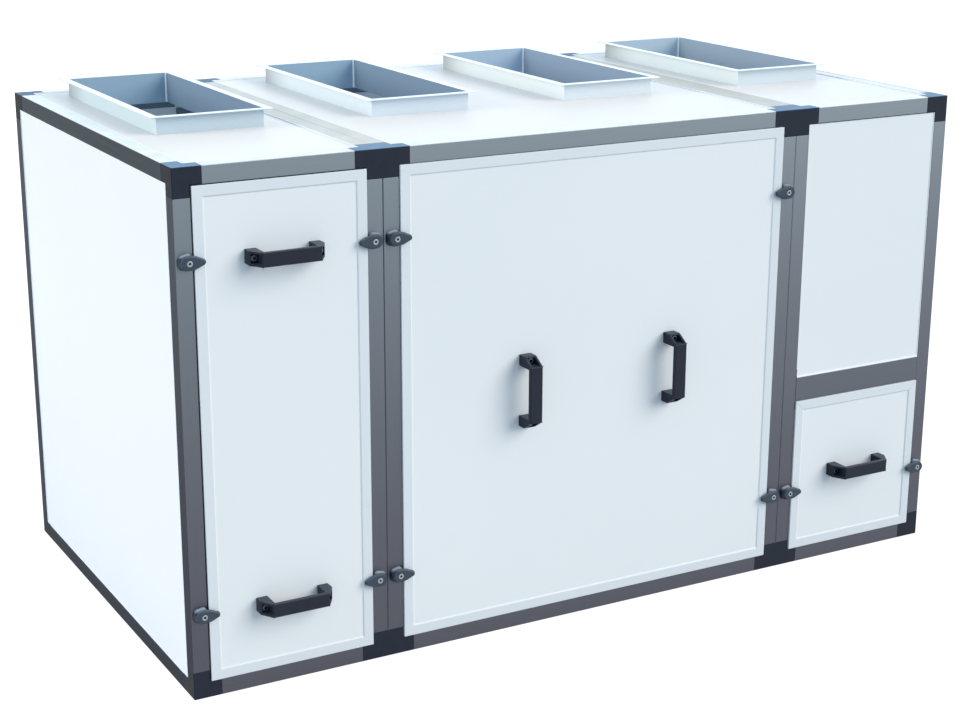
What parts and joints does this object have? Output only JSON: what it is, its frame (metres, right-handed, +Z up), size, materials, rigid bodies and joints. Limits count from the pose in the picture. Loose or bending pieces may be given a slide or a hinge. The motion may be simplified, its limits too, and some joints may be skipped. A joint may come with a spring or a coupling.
{
  "type": "air handling unit",
  "caption": "Floor-standing modular air handling unit: aluminium frame with corner blocks, white sandwich panels, lift-off doors with handles and turn latches, flanged duct collars on the roof.",
  "frame": {"origin": "centre of the case's footprint, on the underside that rests on the floor", "axes": "+X to the right along the front, +Y from the front to the back, +Z up"},
  "size_m": [1.606, 0.932, 0.955],
  "materials": {
    "block_nylon": "satin",
    "frame_aluminium": "satin",
    "panel_paint": "satin",
    "door_paint": "satin",
    "seal_rubber": "matte",
    "collar_sheet": "satin",
    "handle_plastic": "satin",
    "latch_plastic": "satin",
    "screw_steel": "satin"
  },
  "bodies": {
    "case": {"corner_blocks": "block_nylon", "tee_blocks": "block_nylon", "corner_posts": "frame_aluminium", "seam_posts": "frame_aluminium", "front_rails": "frame_aluminium", "back_rails": "frame_aluminium", "side_rails": "frame_aluminium", "seam_rails": "frame_aluminium", "mid_rail": "frame_aluminium", "left_panel": "panel_paint", "right_panel": "panel_paint", "upper_front_panel": "panel_paint", "roof_panel_left": "panel_paint", "roof_panel_centre": "panel_paint", "roof_panel_right": "panel_paint", "floor_panel_left": "panel_paint", "floor_panel_centre": "panel_paint", "floor_panel_right": "panel_paint", "back_panel_left": "panel_paint", "back_panel_centre": "panel_paint", "back_panel_right": "panel_paint", "door_left": "door_paint", "door_centre": "door_paint", "door_right": "door_paint", "door_seals": "seal_rubber", "collar_a": "collar_sheet", "collar_b": "collar_sheet", "collar_c": "collar_sheet", "collar_d": "collar_sheet", "handle_left_upper": "handle_plastic", "handle_left_lower": "handle_plastic", "handle_centre_a": "handle_plastic", "handle_centre_b": "handle_plastic", "handle_right": "handle_plastic", "latch_bases": "latch_plastic", "latch_screws": "screw_steel"},
    "latch_left_ul": {"latch_left_ul": "latch_plastic"},
    "latch_left_ur": {"latch_left_ur": "latch_plastic"},
    "latch_left_ll": {"latch_left_ll": "latch_plastic"},
    "latch_left_lr": {"latch_left_lr": "latch_plastic"},
    "latch_centre_ul": {"latch_centre_ul": "latch_plastic"},
    "latch_centre_ur": {"latch_centre_ur": "latch_plastic"},
    "latch_centre_ll": {"latch_centre_ll": "latch_plastic"},
    "latch_centre_lr": {"latch_centre_lr": "latch_plastic"},
    "latch_right_l": {"latch_right_l": "latch_plastic"},
    "latch_right_r": {"latch_right_r": "latch_plastic"}
  },
  "joints": [
    {"name": "latch_left_ul_turn", "type": "hinge", "parent": "case", "child": "latch_left_ul", "pos_m": [-0.7825, -0.4545, 0.769], "axis": [0, -1, 0], "range_deg": [0, 90]},
    {"name": "latch_left_ur_turn", "type": "hinge", "parent": "case", "child": "latch_left_ur", "pos_m": [-0.4535, -0.4545, 0.769], "axis": [0, 1, 0], "range_deg": [0, 90]},
    {"name": "latch_left_ll_turn", "type": "hinge", "parent": "case", "child": "latch_left_ll", "pos_m": [-0.7825, -0.4545, 0.155], "axis": [0, -1, 0], "range_deg": [0, 90]},
    {"name": "latch_left_lr_turn", "type": "hinge", "parent": "case", "child": "latch_left_lr", "pos_m": [-0.4535, -0.4545, 0.155], "axis": [0, 1, 0], "range_deg": [0, 90]},
    {"name": "latch_centre_ul_turn", "type": "hinge", "parent": "case", "child": "latch_centre_ul", "pos_m": [-0.4125, -0.4545, 0.769], "axis": [0, -1, 0], "range_deg": [0, 90]},
    {"name": "latch_centre_ur_turn", "type": "hinge", "parent": "case", "child": "latch_centre_ur", "pos_m": [0.4125, -0.4545, 0.769], "axis": [0, 1, 0], "range_deg": [0, 90]},
    {"name": "latch_centre_ll_turn", "type": "hinge", "parent": "case", "child": "latch_centre_ll", "pos_m": [-0.4125, -0.4545, 0.155], "axis": [0, -1, 0], "range_deg": [0, 90]},
    {"name": "latch_centre_lr_turn", "type": "hinge", "parent": "case", "child": "latch_centre_lr", "pos_m": [0.4125, -0.4545, 0.155], "axis": [0, 1, 0], "range_deg": [0, 90]},
    {"name": "latch_right_l_turn", "type": "hinge", "parent": "case", "child": "latch_right_l", "pos_m": [0.4535, -0.4545, 0.155], "axis": [0, -1, 0], "range_deg": [0, 90]},
    {"name": "latch_right_r_turn", "type": "hinge", "parent": "case", "child": "latch_right_r", "pos_m": [0.7825, -0.4545, 0.155], "axis": [0, 1, 0], "range_deg": [0, 90]}
  ]
}
